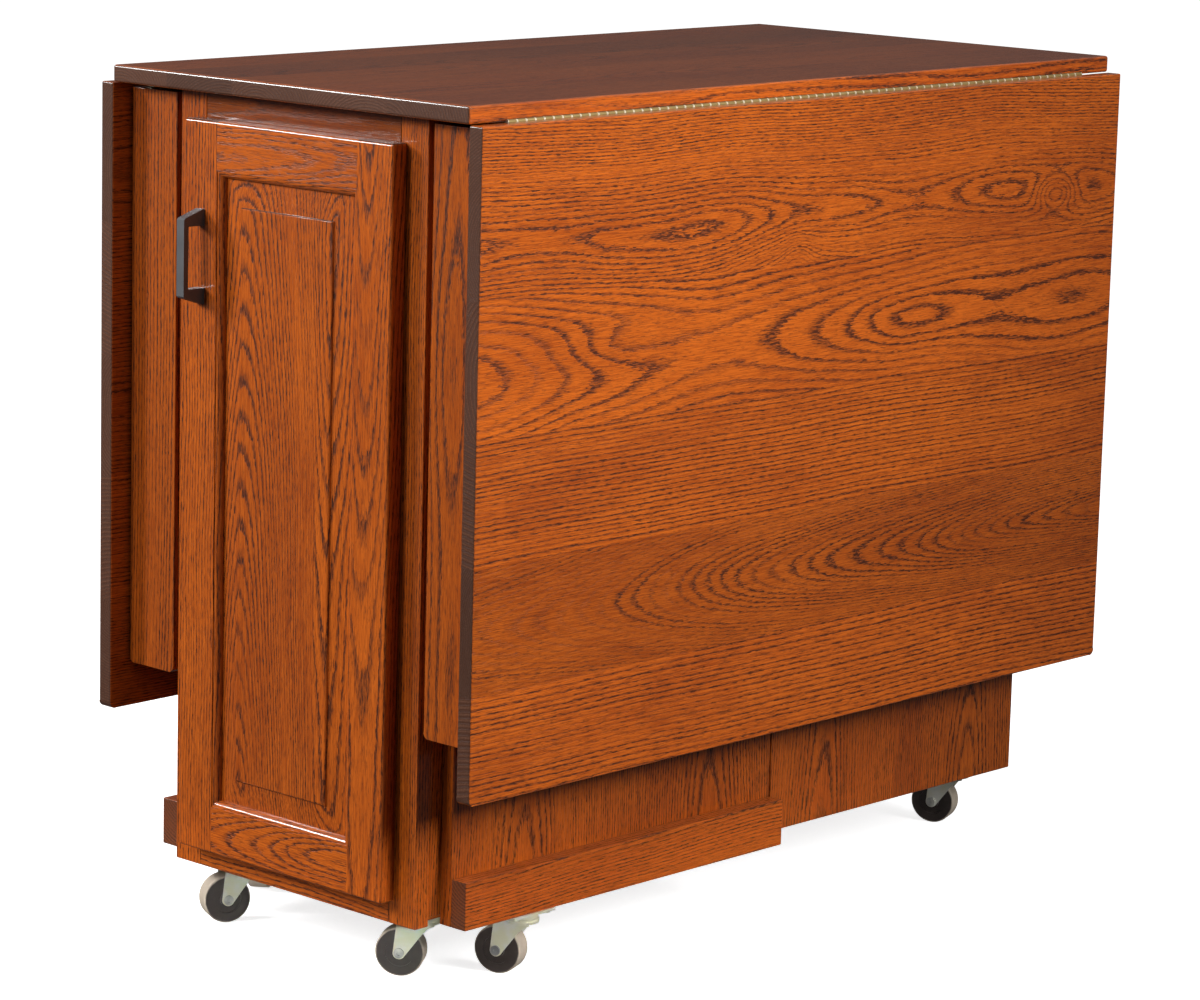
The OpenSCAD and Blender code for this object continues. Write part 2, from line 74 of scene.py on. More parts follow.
class Signal:
    """One output of a node. Arithmetic on it adds Math nodes."""

    def __init__(self, graph, socket):
        self.graph = graph
        self.socket = socket

    def __add__(self, other):
        return self.graph.math("ADD", self, other)

    def __radd__(self, other):
        return self.graph.math("ADD", other, self)

    def __sub__(self, other):
        return self.graph.math("SUBTRACT", self, other)

    def __rsub__(self, other):
        return self.graph.math("SUBTRACT", other, self)

    def __mul__(self, other):
        return self.graph.math("MULTIPLY", self, other)

    def __rmul__(self, other):
        return self.graph.math("MULTIPLY", other, self)

    def __truediv__(self, other):
        return self.graph.math("DIVIDE", self, other)


class Graph:
    """A node tree and short calls that add nodes to it. The tree is a new material's, unless one is given."""

    def __init__(self, name, tree=None):
        if tree is None:
            self.material = bpy.data.materials.new(name)
            self.material.use_nodes = True
            tree = self.material.node_tree
            tree.nodes.clear()
        self.tree = tree

    def feed(self, socket, value):
        """Links a signal to a socket, or sets a plain value on it."""
        if isinstance(value, Signal):
            self.tree.links.new(value.socket, socket)
        else:
            socket.default_value = value

    def node(self, kind, inputs, output=0, **settings):
        """Adds a node, feeds its inputs by name or number, and gives one of its outputs."""
        made = self.tree.nodes.new(kind)
        for key, value in settings.items():
            setattr(made, key, value)
        for key, value in inputs.items():
            self.feed(made.inputs[key], value)
        return Signal(self, made.outputs[output])

    def math(self, operation, a, b=0.0):
        return self.node("ShaderNodeMath", {0: a, 1: b}, operation=operation)

    def ease(self, value, low, high):
        """0 below low and 1 above high, with a smooth step between them; low may be the greater."""
        inputs = {"Value": value, "From Min": low, "From Max": high}
        return self.node("ShaderNodeMapRange", inputs, interpolation_type="SMOOTHSTEP")

    def vector(self, x, y, z):
        return self.node("ShaderNodeCombineXYZ", {0: x, 1: y, 2: z})

    def split(self, vector):
        made = self.tree.nodes.new("ShaderNodeSeparateXYZ")
        self.feed(made.inputs[0], vector)
        return [Signal(self, made.outputs[i]) for i in range(3)]

    def noise(self, vector, scale=1.0, detail=2.0, roughness=0.5):
        inputs = {"Vector": vector, "Scale": scale, "Detail": detail, "Roughness": roughness}
        return self.node("ShaderNodeTexNoise", inputs)

    def mix(self, factor, a, b, blend="MIX"):
        made = self.tree.nodes.new("ShaderNodeMix")
        made.data_type = "RGBA"
        made.blend_type = blend
        for index, value in ((0, factor), (6, a), (7, b)):
            self.feed(made.inputs[index], value)
        return Signal(self, made.outputs[2])

    def place(self):
        """The point in the piece's own space, which moves with the piece."""
        return self.node("ShaderNodeTexCoord", {}, output="Object")

    def normal(self):
        """The way the surface faces, in the piece's own space."""
        return self.node("ShaderNodeTexCoord", {}, output="Normal")

    def bump(self, height, depth, strength=1.0):
        inputs = {"Height": height, "Distance": depth, "Strength": strength}
        return self.node("ShaderNodeBump", inputs)

    def finish(self, **inputs):
        """Ends a material in one shader; the inputs have _ for each space in a socket's name."""
        shader = self.tree.nodes.new("ShaderNodeBsdfPrincipled")
        for key, value in inputs.items():
            self.feed(shader.inputs[key.replace("_", " ")], value)
        end = self.tree.nodes.new("ShaderNodeOutputMaterial")
        self.tree.links.new(shader.outputs[0], end.inputs[0])
        return self.material


def grey(value):
    return (value, value, value, 1)


# ---------- oak ----------

# Stained oak under a satin clear coat: the light wood, its deeper shade and the pores
OAK_LIGHT = (0.70, 0.150, 0.012, 1)
OAK_DEEP = (0.36, 0.060, 0.0045, 1)
OAK_PORE = (0.050, 0.0100, 0.0032, 1)
# The end grain and the fine paler lines in it
END_GRAIN = (0.080, 0.030, 0.016, 1)
END_LINES = (0.20, 0.095, 0.058, 1)
# How far, in metres, the pores throw the edge of a ring about
RAGGED = 0.0026
# How deep, in metres, the pores lie below the surface
PORE_DEPTH = 0.00025
# How far apart the noise of neighbouring boards is taken
BOARD_STEP = 7.31


class Board:
    """One sawn board. Its rings are circles round a pith that runs along the grain. Lengths are in metres.
    width: the board's own width; pith: how far the pith lies to the side of the board's middle;
    depth: how far behind it; lean and taper: how fast those two change along the grain;
    ring: ring spacing; wave: how wavy the rings are; tone: how light the board is beside its neighbours;
    knots: (place along, place across, length, breadth, rings) of each swirl in the figure."""

    def __init__(self, width, pith=0.0, depth=0.06, taper=0.0, lean=0.0, ring=0.003, wave=0.004, tone=1.0,
                 knots=()):
        self.width = width
        self.pith = pith
        self.depth = depth
        self.taper = taper
        self.lean = lean
        self.ring = ring
        self.wave = wave
        self.tone = tone
        self.knots = knots


def per_board(steps, values):
    """A signal with one of the values on each board. A step is 1 past its board's far edge, else 0."""
    total = values[0]
    for step, before, after in zip(steps, values, values[1:]):
        if abs(after - before) > 1e-9:
            total = step * (after - before) + total
    return total


def oak(name, node, grain, across, boards, seed=0.0, shade=1.0, worktop=1.0, roughness=0.30, ends=1.0):
    """Oak for one CAD node, with its grain along one axis and its boards side by side on another.
    seed: picks the figure; shade: how light the whole node is, which on the frame's top rail is a painted
    shadow; worktop: how light its upper face is beside the rest, a painted shade on that face,
    and unless it is 1 that face has its pores half filled; roughness: the wood's own, below its coat and
    apart from its pores; ends: how far the ends take the colour of end grain."""
    g = Graph(name)
    low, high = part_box(node)
    along_axis, across_axis = "XYZ".index(grain), "XYZ".index(across)
    thick_axis = 3 - along_axis - across_axis
    point = g.split(g.place())
    facing = g.split(g.normal())
    along = point[along_axis] - (low[along_axis] + high[along_axis]) / 2
    side = point[across_axis]
    thick = point[thick_axis] - (low[thick_axis] + high[thick_axis]) / 2

    steps, middles, edge = [], [], low[across_axis]
    for board in boards:
        middles.append(edge + board.width / 2)
        edge += board.width
        steps.append(g.math("GREATER_THAN", side, edge))

    def each(name):
        return per_board(steps, [getattr(board, name) for board in boards])

    number = per_board(steps, [BOARD_STEP * i + seed for i in range(len(boards))])
    # Slow sways along the board, finer waves, and the ragged edges that the pores give each ring
    sway = g.noise(g.vector(along * 2.2, number, 0.0), detail=1.0) - 0.5
    drift = g.noise(g.vector(along * 1.6, number + 3.7, 5.0), detail=1.0) - 0.5
    waves = g.noise(g.vector(along * 5.0, side * 16.0, thick * 16.0 + number), detail=2.0) - 0.5
    ragged = g.noise(g.vector(along * 95.0, side * 700.0, thick * 700.0 + number), detail=2.0) - 0.5

    # The point's distance from its board's pith gives its ring, counted from the pith
    wave = each("wave")
    piths = [middle + board.pith for middle, board in zip(middles, boards)]
    offset = side - per_board(steps, piths) + along * each("lean")
    offset = offset + sway * wave * 6.0
    depth = thick + each("depth") + along * each("taper")
    depth = depth + drift * wave * 10.0
    radius = g.math("SQRT", offset * offset + depth * depth) + waves * wave + ragged * RAGGED
    years = g.noise(g.vector(radius * 55.0, number + 1.3, 2.0), detail=1.0) - 0.5
    rings = radius * per_board(steps, [1.0 / board.ring for board in boards]) + years * 1.3
    for i, board in enumerate(boards):
        for x, w, length, breadth, rise in board.knots:
            du = (along - x) / length
            dw = (side - w) / breadth
            swirl = g.math("EXPONENT", (du * du + dw * dw) * -1.0) * rise
            if i > 0:
                swirl = swirl * steps[i - 1]
            rings = swirl * (1.0 - steps[i]) + rings
    cycle = g.math("FRACT", rings)
    vigour = g.noise(g.vector(rings * 0.31, number, along * 1.5), detail=1.0)
    early = g.ease(cycle, 0.0, 0.07) * g.ease(cycle, 0.50, 0.14)

    # Pores are short dark dashes, thick in the early wood and sparse elsewhere
    dashes = g.noise(g.vector(along * 120.0, side * 1050.0, thick * 1050.0 + number), detail=2.0)
    fibres = g.noise(g.vector(along * 28.0, side * 1000.0, thick * 1000.0 + number), detail=2.0)
    flecks = g.noise(g.vector(along * 65.0, side * 620.0, thick * 620.0 + number + 9.0), detail=2.0)
    dense = g.ease(dashes, 0.34, 0.54)
    sparse = g.ease(dashes, 0.54, 0.68) * 0.40 + g.ease(flecks, 0.54, 0.70) * 0.34
    pores = early * (dense * 0.55 + 0.39) * g.ease(vigour, 0.18, 0.60)
    pores = g.math("MINIMUM", pores + sparse, 0.96)
    tone = per_board(steps, [board.tone * shade for board in boards])
    # Painted shade: the node's upper face is made darker than the rest, and its pores are half filled
    if worktop != 1.0:
        up = g.ease(facing[2], 0.6, 0.95)
        pores = pores * (1.0 - up * 0.5)
        tone = (up * (worktop - 1.0) + 1.0) * tone

    # The light wood goes deeper in broad clouds and along its fibres, and the pores lie over it
    cloud = g.noise(g.vector(along * 3.0, side * 9.0, number), detail=3.0)
    fibre_tone = g.ease(fibres, 0.32, 0.68)
    deep = g.ease(cloud, 0.30, 0.75) * 0.42 + fibre_tone * 0.62
    colour = g.mix(deep, OAK_LIGHT, OAK_DEEP)
    colour = g.mix(pores, colour, OAK_PORE)

    # End grain drinks the stain: dark, with the rings as fine paler lines
    end = g.ease(g.math("ABSOLUTE", facing[along_axis]), 0.55, 0.85) * ends
    ring_lines = g.ease(g.math("ABSOLUTE", cycle - 0.7), 0.25, 0.05)
    end_tone = fibre_tone * 0.55 + vigour * 0.3 - 0.05
    end_colour = g.mix(ring_lines * end_tone, END_GRAIN, END_LINES)
    colour = g.mix(end, colour, end_colour)
    colour = g.mix(1.0, colour, g.vector(tone, tone, tone), blend="MULTIPLY")

    rough = (cloud - 0.5) * 0.12 + pores * 0.22 + roughness
    height = (early * dense + sparse * 0.6) * -1.0 + fibres * 0.25
    normal = g.bump(height, PORE_DEPTH, 0.6)
    return g.finish(Base_Color=colour, Roughness=rough, Normal=normal, Specular_IOR_Level=0.22,
                    Coat_Weight=0.75, Coat_Roughness=0.09)


# ---------- metals, rubber and the rest ----------

# The pitch of the continuous hinges' knuckles, how thick their plates are and how far from the pin
# each row of their screws runs
KNUCKLE = 0.0127
HINGE_PLATE = 0.001
HINGE_SCREW_ROW = 0.0115
# The painted highlights at the ends of the knuckles are full within the first of these distances from the
#  pin, and gone past the second
BARREL = (0.0026, 0.0032)


def brass():
    """Worn brass, with painted highlights at the ends of the continuous hinges' knuckles."""
    g = Graph("brass_hinge")
    x, y, z = g.split(g.place())
    pin = Vector(joint("near_leaf_lift")["pos_m"])
    dy, dz = g.math("ABSOLUTE", y) - abs(pin.y), z - pin.z
    barrel = g.ease(dy * dy + dz * dz, BARREL[1] ** 2, BARREL[0] ** 2)
    streaks = g.noise(g.vector(x * 40.0, y * 400.0, z * 400.0), detail=2.0)
    cloud = g.noise(g.place(), scale=30.0, detail=3.0)
    colour = g.mix(cloud, (0.50, 0.36, 0.14, 1), (0.32, 0.22, 0.08, 1))
    colour = g.mix(g.ease(streaks, 0.55, 0.8) * 0.4, colour, (0.74, 0.60, 0.32, 1))
    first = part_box("near_hinge_top_plate")[0].x
    knuckle = g.math("FRACT", (x - first) / KNUCKLE + 0.5)
    # Painted highlight: a pale band at each end of every knuckle, on the barrel only
    knuckle_gap_highlight = g.ease(g.math("ABSOLUTE", knuckle - 0.5), 0.12, 0.05)
    colour = g.mix(knuckle_gap_highlight * barrel * 0.9, colour, (1.0, 0.93, 0.74, 1))
    rough = cloud * 0.16 + streaks * 0.10 + 0.24
    return g.finish(Base_Color=colour, Metallic=0.55, Roughness=rough, Normal=g.bump(streaks, 0.00005, 0.4))


def zinc(name="zinc_steel", tint=(0.80, 0.77, 0.56, 1), shine=0.45):
    """Zinc plate with the faint yellow-green bloom of its passivate."""
    g = Graph(name)
    cloud = g.noise(g.place(), scale=55.0, detail=3.0)
    grain = g.noise(g.place(), scale=900.0, detail=1.0)
    colour = g.mix(g.ease(cloud, 0.35, 0.7), tint, (0.84, 0.83, 0.75, 1))
    rough = cloud * 0.22 + grain * 0.08 + 0.22
    return g.finish(Base_Color=colour, Metallic=shine, Roughness=rough, Normal=g.bump(grain, 0.00004, 0.3))


def gunmetal():
    """The door pull's dark, finely grained coat."""
    g = Graph("pull_gunmetal")
    grain = g.noise(g.place(), scale=2200.0, detail=2.0)
    cloud = g.noise(g.place(), scale=40.0, detail=2.0)
    colour = g.mix(cloud * 0.6 + grain * 0.4, (0.090, 0.091, 0.097, 1), (0.150, 0.151, 0.158, 1))
    rough = grain * 0.14 + cloud * 0.08 + 0.32
    return g.finish(Base_Color=colour, Metallic=0.4, Roughness=rough, Normal=g.bump(grain, 0.00003, 0.4))


# Between these distances from its axle a wheel's side turns into its tread
WHEEL_EDGE = (0.0238, 0.0256)


def wheel_rubber(hub, axis):
    """Hard rubber: dark sides and a tread greyed by dust."""
    g = Graph("wheel_rubber")
    x, y, z = g.split(g.place())
    dx, dy, dz = x - hub[0], y - hub[1], z - hub[2]
    sideways = dx * axis[0] + dy * axis[1]
    away = g.math("SQRT", g.math("MAXIMUM", dx * dx + dy * dy + dz * dz - sideways * sideways, 0.0))
    dust = g.noise(g.place(), scale=160.0, detail=3.0)
    tread = g.ease(away + dust * 0.0012, *WHEEL_EDGE)
    dark = g.mix(dust, (0.020, 0.014, 0.012, 1), (0.052, 0.038, 0.032, 1))
    pale = g.mix(dust, (0.38, 0.31, 0.235, 1), (0.56, 0.48, 0.385, 1))
    colour = g.mix(tread, dark, pale)
    rough = tread * 0.22 + dust * 0.15 + 0.36
    return g.finish(Base_Color=colour, Roughness=rough, Normal=g.bump(dust, 0.00015, 0.35))


def clear_bumper():
    """Soft, milky plastic."""
    g = Graph("clear_bumper")
    cloud = g.noise(g.place(), scale=300.0, detail=2.0)
    colour = g.mix(cloud, (0.74, 0.74, 0.71, 1), (0.86, 0.86, 0.84, 1))
    return g.finish(Base_Color=colour, Roughness=cloud * 0.1 + 0.22, Subsurface_Weight=0.2)


# ---------- the CAD nodes ----------

def dress(node, material):
    """Gives a CAD node its one material."""
    mesh = NODES[node].data
    mesh.materials.clear()
    mesh.materials.append(material)


# The faces of a node's box, by side and axis, and how near to one, in metres, counts as on it
ALL_PLANES = "-X +X -Y +Y -Z +Z"
ON_PLANE = 0.00005
# Faces that meet at more than this many degrees keep a sharp edge
SHARP_ANGLE = 40


def pick_edges(node, planes):
    """Geometry nodes that mark, for the bevel, the edges where two of the chosen faces of a node's box
    meet. Its other corners stay sharp."""
    tree = bpy.data.node_groups.new("edges_of_" + node, "GeometryNodeTree")
    for way in ("INPUT", "OUTPUT"):
        tree.interface.new_socket("Geometry", in_out=way, socket_type="NodeSocketGeometry")
    g = Graph("", tree)
    low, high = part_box(node)
    point = g.split(g.node("GeometryNodeInputPosition", {}))
    count = 0.0
    for plane in planes.split():
        axis = "XYZ".index(plane[1])
        value = (low if plane[0] == "-" else high)[axis]
        count = g.node("ShaderNodeMath", {0: point[axis], 1: value, 2: ON_PLANE}, operation="COMPARE") + count
    chosen = g.math("GREATER_THAN", count, 1.5)
    # A chosen edge is never sharp, as its bevel has to sweep evenly from one face to the other
    angle = g.node("GeometryNodeInputMeshEdgeAngle", {})
    soft = g.math("LESS_THAN", angle - chosen * 10.0, math.radians(SHARP_ANGLE))
    marked = g.node("GeometryNodeStoreNamedAttribute",
                    {"Geometry": g.node("NodeGroupInput", {}), "Name": "bevel_weight_edge", "Value": chosen},
                    data_type="FLOAT", domain="EDGE")
    marked = g.node("GeometryNodeSetShadeSmooth", {"Geometry": marked, "Shade Smooth": True}, domain="FACE")
    marked = g.node("GeometryNodeSetShadeSmooth", {"Geometry": marked, "Shade Smooth": soft}, domain="EDGE")
    tree.links.new(marked.socket, tree.nodes.new("NodeGroupOutput").inputs[0])
    return tree


def ease_edges(node, width, planes):
    """Rounds a CAD node's straight outer edges, inside its own surfaces, where the planes of its box meet."""
    piece = NODES[node]
    # The node's faces come apart at each sharp edge and are cut into triangles, so they are joined first
    piece.modifiers.new("joined_faces", "WELD").merge_threshold = 0.00001
    flat = piece.modifiers.new("flat_faces", "DECIMATE")
    flat.decimate_type = "DISSOLVE"
    flat.angle_limit = math.radians(0.5)
    piece.modifiers.new("picked_edges", "NODES").node_group = pick_edges(node, planes)
    made = piece.modifiers.new("eased_edges", "BEVEL")
    made.width = width
    made.segments = 4
    made.limit_method = "WEIGHT"
    made.use_clamp_overlap = False
    made.loop_slide = False
    normals = piece.modifiers.new("even_normals", "WEIGHTED_NORMAL")
    normals.weight = 50
    normals.keep_sharp = True


def wooden(node, grain, across, boards, edge=0.0012, planes=ALL_PLANES, **look):
    """Oak on a CAD node, and its edges rounded; look goes to oak()."""
    dress(node, oak("oak_" + node, node, grain, across, boards, **look))
    ease_edges(node, edge, planes)


def upright(node, across, seed, shade):
    """A board that stands with its grain upright, with its figure chosen by its seed."""
    board = Board(size_of(node, across), **figure(seed))
    wooden(node, "Z", across, [board], edge=0.0010, seed=seed, shade=shade)


def figure(seed):
    """A plain board's ring layout, varied by its seed."""
    # The fraction of a large sine is a number from 0 to 1 that looks random and is the same on each run
    turn = math.sin(seed * 12.9898) * 43758.5453 % 1.0
    return {
        "pith": (turn - 0.5) * 0.14,
        "depth": 0.035 + 0.05 * ((turn * 7.0) % 1.0),
        "taper": 0.05 * (((turn * 13.0) % 1.0) - 0.5),
        "ring": 0.0024 + 0.0022 * ((turn * 29.0) % 1.0),
        "wave": 0.0035,
    }


def dress_top_and_leaves():
    # The top's boards run from its near side to its far side, and a leaf's from the bottom up
    top = [Board(0.112, 0.06, 0.04, 0.02, ring=0.0036, tone=1.0),
           Board(0.110, -0.03, 0.05, -0.03, ring=0.0032, tone=1.10),
           Board(0.112, 0.02, 0.06, 0.05, ring=0.0038, tone=1.0),
           Board(0.098, -0.04, 0.07, -0.04, ring=0.0030, tone=0.80),
           Board(0.083, 0.03, 0.05, 0.03, ring=0.0035, tone=1.05)]
    # The top's upper face takes a painted shade, 0.55 as light as the rest of the top
    wooden("top_panel", "X", "Y", top, edge=0.0028, seed=2.0, worktop=0.55, roughness=0.34)
    near = [Board(0.1085, -0.20, 0.05, 0.02, ring=0.0058, wave=0.003, tone=1.04),
            Board(0.128, 0.002, 0.060, -0.078, ring=0.0024, wave=0.003, tone=0.80),
            Board(0.124, 0.24, 0.06, 0.02, ring=0.0050, wave=0.003, tone=0.98),
            Board(0.135, -0.006, 0.105, 0.025, ring=0.0046, wave=0.007, tone=1.06,
                  knots=((0.150, 0.640, 0.110, 0.030, -2.5), (-0.300, 0.655, 0.090, 0.022, 2.0))),
            Board(0.168, -0.034, 0.062, 0.020, ring=0.0028, wave=0.006, tone=1.0,
                  knots=((-0.053, 0.716, 0.085, 0.050, 4.5), (-0.040, 0.722, 0.022, 0.024, 2.5),
                         (0.397, 0.756, 0.036, 0.020, 6.0)))]
    wooden("near_leaf", "X", "Z", near, edge=0.0018, seed=11.0)
    far = [Board(0.118, 0.05, 0.04, 0.05, ring=0.0030, tone=0.92),
           Board(0.132, -0.18, 0.05, 0.02, ring=0.0046, tone=1.03),
           Board(0.128, 0.01, 0.08, 0.06, ring=0.0034, wave=0.006, tone=0.98),
           Board(0.140, 0.20, 0.05, -0.02, ring=0.0042, tone=1.06),
           Board(0.146, -0.02, 0.07, -0.05, ring=0.0030, wave=0.005, tone=0.9)]
    wooden("far_leaf", "X", "Z", far, edge=0.0018, seed=31.0)


def dress_cabinet():
    for node, seed, shade in (("frame_stile_near", 41.0, 0.80), ("frame_stile_far", 43.0, 0.80),
                              ("gate_head_near", 71.0, 0.74), ("gate_head_far", 73.0, 0.74)):
        upright(node, "Y", seed, shade)
    # The top rail's 0.40 is a painted shadow: it darkens the rail as the shade under the top's overhang would
    for node, seed, shade in (("frame_rail_top", 45.0, 0.40), ("frame_rail_bottom", 47.0, 0.72)):
        board = Board(size_of(node, "Z"), 0.01, 0.03, 0.03, ring=0.0036, wave=0.006)
        wooden(node, "Y", "Z", [board], seed=seed, shade=shade)
    for node, across, seed in (("side_near", "X", 51.0), ("side_far", "X", 53.0), ("divider", "Y", 55.0),
                               ("end_panel", "Y", 57.0), ("fixed_panel_near", "X", 59.0),
                               ("fixed_panel_far", "X", 61.0), ("gate_near", "X", 63.0),
                               ("gate_far", "X", 65.0)):
        veneer(node, across, seed)
    for node, seed in (("gate_rail_near", 75.0), ("gate_rail_far", 77.0)):
        board = Board(0.05, 0.05, 0.03, 0.03, ring=0.0036, wave=0.004)
        wooden(node, "X", "Z", [board], seed=seed, shade=0.88, ends=0.8)
    for node, seed in (("cabinet_floor", 81.0), ("shelves", 83.0), ("caster_pads", 85.0),
                       ("top_cleats", 87.0)):
        board = Board(size_of(node, "Y"), 0.02, 0.06, 0.03, ring=0.0034)
        wooden(node, "X", "Y", [board], seed=seed, shade=0.85)


VENEER_WIDTH = 0.24


def veneer(node, across, seed):
    """A wide upright panel in leaves of veneer, each about VENEER_WIDTH wide."""
    wide = size_of(node, across)
    count = max(1, round(wide / VENEER_WIDTH))
    leaves = []
    for i in range(count):
        pith, tone = ((-0.02, 1.0), (0.03, 0.94))[i % 2]
        leaves.append(Board(wide / count, pith, 0.09, 0.05, ring=0.0030, wave=0.004, tone=tone))
    wooden(node, "Z", across, leaves, seed=seed, shade=0.80)


# How wide the boards of the door's frame are, and how far its outer edges are rounded
DOOR_BOARD = 0.057
DOOR_EDGE = 0.0030


def dress_door():
    # Each board of the frame is rounded only on the door's own outer edges
    for node, grain, across, planes, seed, shade, board in (
            ("door_stile_hinge_side", "Z", "Y", "-X -Y -Z +Z", 91.0, 0.95,
             Board(DOOR_BOARD, 0.004, 0.045, -0.05, ring=0.0040, wave=0.005)),
            ("door_stile_pull_side", "Z", "Y", "-X +Y -Z +Z", 93.0, 0.92,
             Board(DOOR_BOARD, 0.055, 0.030, 0.02, ring=0.0042, wave=0.007)),
            ("door_rail_top", "Y", "Z", "-X +Z", 95.0, 0.92,
             Board(DOOR_BOARD, 0.0, 0.035, 0.02, ring=0.0030, wave=0.008)),
            ("door_rail_bottom", "Y", "Z", "-X -Z", 97.0, 0.92,
             Board(DOOR_BOARD, -0.004, 0.040, 0.03, ring=0.0032, wave=0.008))):
        wooden(node, grain, across, [board], edge=DOOR_EDGE, planes=planes, seed=seed, shade=shade)
    panel = [Board(0.055, 0.006, 0.035, -0.04, ring=0.0040, wave=0.006, tone=0.98),
             Board(0.150, 0.036, 0.050, 0.080, ring=0.0034, wave=0.003, tone=0.94)]
    wooden("door_panel", "Z", "Y", panel, edge=0.0008, seed=99.0, shade=0.95)


def dress_metal():
    bright = brass()
    for node in ("near_hinge_top_plate", "near_hinge_leaf_plate", "far_hinge_top_plate",
                 "far_hinge_leaf_plate", "leaf_hinge_pins", "gate_hinges"):
        dress(node, bright)
    plated = zinc()
    for node in ("door_pull_screws", "door_hinge_cups", "door_hinge_arms", "caster_plates",
                 "caster_screws", "shelf_pins"):
        dress(node, plated)
    rivets = zinc("rivet_steel", (0.42, 0.42, 0.42, 1), 0.9)
    dress("door_pull", gunmetal())
    dress("door_bumpers", clear_bumper())
    for number in range(1, 7):
        dress(f"caster_{number}_fork", plated)
        dress(f"caster_{number}_axle", rivets)


def dress_wheels():
    for number in range(1, 7):
        roll = joint(f"caster_{number}_roll")
        dress(f"caster_{number}_wheel", wheel_rubber(roll["pos_m"], roll["axis"]))


# ---------- screw heads ----------

# The heights of the feet of a gate's butt hinges, how far above those and to either side of the seam their
# screws are, how thick their plates are, and how far the middle of the seam is from the gate
BUTT_FEET = (0.300, 0.540, 0.780)
BUTT_SCREW_RISES = (0.012, 0.032, 0.052)
BUTT_SCREW_SIDE = 0.0145
BUTT_PLATE = 0.0016
GATE_GAP = 0.001
# How far from the door's top and bottom its hinges are, and where the screws of their plates are beside
# them; how thick those plates are, and how far behind the middle of the frame's stile they are
DOOR_HINGE_INSET = 0.090
DOOR_PLATE_SCREW_RISES = (-0.013, 0.013)
DOOR_PLATE = 0.002
DOOR_PLATE_SHIFT = 0.001


def add_screw(made, centre, facing, radius=0.0031, rise=0.0004):
    """A low cross-head screw: a twelve-sided head with a cross let into it."""
    out = Vector(facing)
    side = out.orthogonal().normalized()
    up = out.cross(side)

    def ring(points, height):
        return [made.verts.new(Vector(centre) + side * x + up * y + out * height) for x, y in points]

    def circle(r):
        return [(r * math.cos(math.radians(30 * i - 15)), r * math.sin(math.radians(30 * i - 15)))
                for i in range(12)]

    arm, half = radius * 0.58, radius * 0.15
    cross = []
    for x, y in ((1, 0), (0, 1), (-1, 0), (0, -1)):
        cross += [(x * arm + y * half, y * arm - x * half), (x * arm - y * half, y * arm + x * half),
                  ((x - y) * half, (x + y) * half)]
    rings = [ring(circle(radius), 0.0), ring(circle(radius * 0.86), rise), ring(cross, rise),
             ring(cross, 0.00003)]
    for before, after in zip(rings, rings[1:]):
        for i in range(12):
            made.faces.new((before[i], before[(i + 1) % 12], after[(i + 1) % 12], after[i]))
    made.faces.new(rings[-1])


def screw_heads(name, body, material, spots):
    """One piece with a screw head at each (centre, facing) of spots."""
    mesh = bpy.data.meshes.new(name)
    made = bmesh.new()
    for centre, facing in spots:
        add_screw(made, centre, facing)
    made.to_mesh(mesh)
    made.free()
    mesh.materials.append(material)
    piece = bpy.data.objects.new(name, mesh)
    bpy.context.scene.collection.objects.link(piece)
    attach(piece, body)


def add_screw_heads():
    """Screws on the continuous hinges, the gates' butt hinges and the plates of the door's hinges."""
    bright = bpy.data.materials["brass_hinge"]
    plated = bpy.data.materials["zinc_steel"]
    # Eighteen screws a plate, four knuckles apart
    places = [KNUCKLE * (4 * i - 34) for i in range(18)]
    top_spots = []
    for leaf, away in (("near_leaf", 1), ("far_leaf", -1)):
        pin = Vector(joint(leaf + "_lift")["pos_m"])
        low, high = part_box(leaf.split("_")[0] + "_hinge_leaf_plate")
        middle = (low.x + high.x) / 2
        spots = [((middle + x, pin.y + away * HINGE_PLATE, pin.z - HINGE_SCREW_ROW), (0, away, 0))
                 for x in places]
        screw_heads(leaf + "_hinge_screws", leaf, bright, spots)
        top_spots += [((middle + x, pin.y + away * HINGE_SCREW_ROW, pin.z - HINGE_PLATE), (0, 0, -1))
                      for x in places]
    screw_heads("top_hinge_screws", "cabinet", bright, top_spots)

    low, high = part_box("gate_near")
    seam = high.x + GATE_GAP
    plate = BUTT_PLATE - low.y
    spots = []
    for foot in BUTT_FEET:
        for x in (-BUTT_SCREW_SIDE, BUTT_SCREW_SIDE):
            for rise in BUTT_SCREW_RISES:
                spots.append(((seam + x, -plate, foot + rise), (0, -1, 0)))
                spots.append(((seam + x, plate, foot + rise), (0, 1, 0)))
    screw_heads("gate_hinge_screws", "cabinet", bright, spots)

    low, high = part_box("frame_stile_near")
    middle = (low.x + high.x) / 2 + DOOR_PLATE_SHIFT
    door_low, door_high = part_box("door_stile_hinge_side")
    spots = []
    for z in (door_low.z + DOOR_HINGE_INSET, door_high.z - DOOR_HINGE_INSET):
        spots += [((middle, high.y + DOOR_PLATE, z + rise), (0, 1, 0)) for rise in DOOR_PLATE_SCREW_RISES]
    screw_heads("door_hinge_plate_screws", "cabinet", plated, spots)


# ---------- floor, lights and camera ----------

def make_floor():
    """A pale floor that takes the object's shadow and throws no light back on the object."""
    mesh = bpy.data.meshes.new("studio_floor")
    made = bmesh.new()
    bmesh.ops.create_circle(made, cap_ends=True, segments=96, radius=60.0)
    made.to_mesh(mesh)
    made.free()
    floor = bpy.data.objects.new("studio_floor", mesh)
    bpy.context.scene.collection.objects.link(floor)
    g = Graph("studio_floor")
    tone = g.noise(g.place(), scale=0.6, detail=2.0)
    colour = g.mix(tone, grey(0.86), grey(0.90))
    mesh.materials.append(g.finish(Base_Color=colour, Roughness=tone * 0.1 + 0.75, Specular_IOR_Level=0.1,
                                   Emission_Color=grey(1.0), Emission_Strength=0.8))
    floor.visible_diffuse = False
    floor.visible_glossy = False


